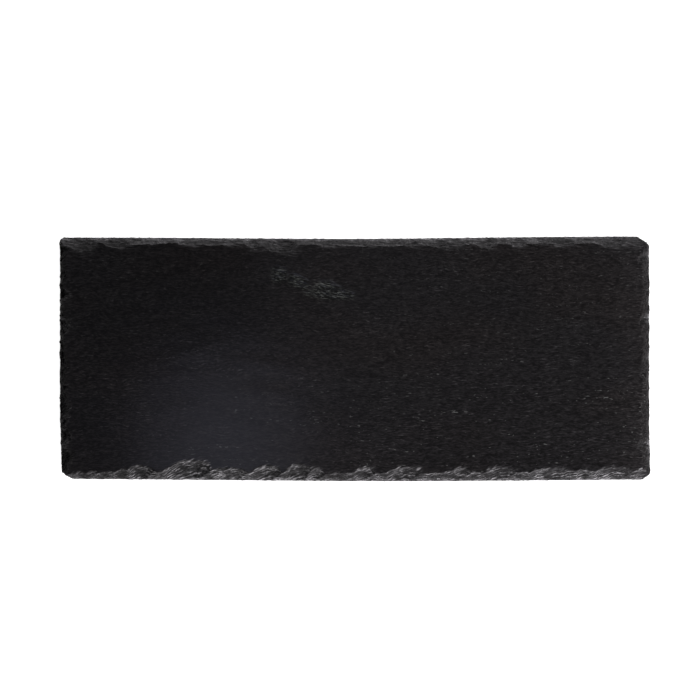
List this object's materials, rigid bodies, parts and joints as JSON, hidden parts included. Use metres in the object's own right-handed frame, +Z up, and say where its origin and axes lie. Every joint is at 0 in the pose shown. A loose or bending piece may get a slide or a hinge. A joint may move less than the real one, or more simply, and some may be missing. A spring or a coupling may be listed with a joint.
{
  "type": "slate slab",
  "caption": "Thin rectangular plate of riven dark slate with hand-chipped edges and a flat underside, such as for serving or display.",
  "frame": {"origin": "middle of the flat underside", "axes": "+X along the length, +Y across the width towards the smoother chipped edge, +Z up through the thickness"},
  "size_m": [0.2998, 0.1248, 0.006],
  "materials": {
    "slate": "riven dark slate with a faint satin sheen, lighter grey where the rim is freshly chipped"
  },
  "bodies": {
    "root": {"slab": "slate"}
  },
  "joints": []
}
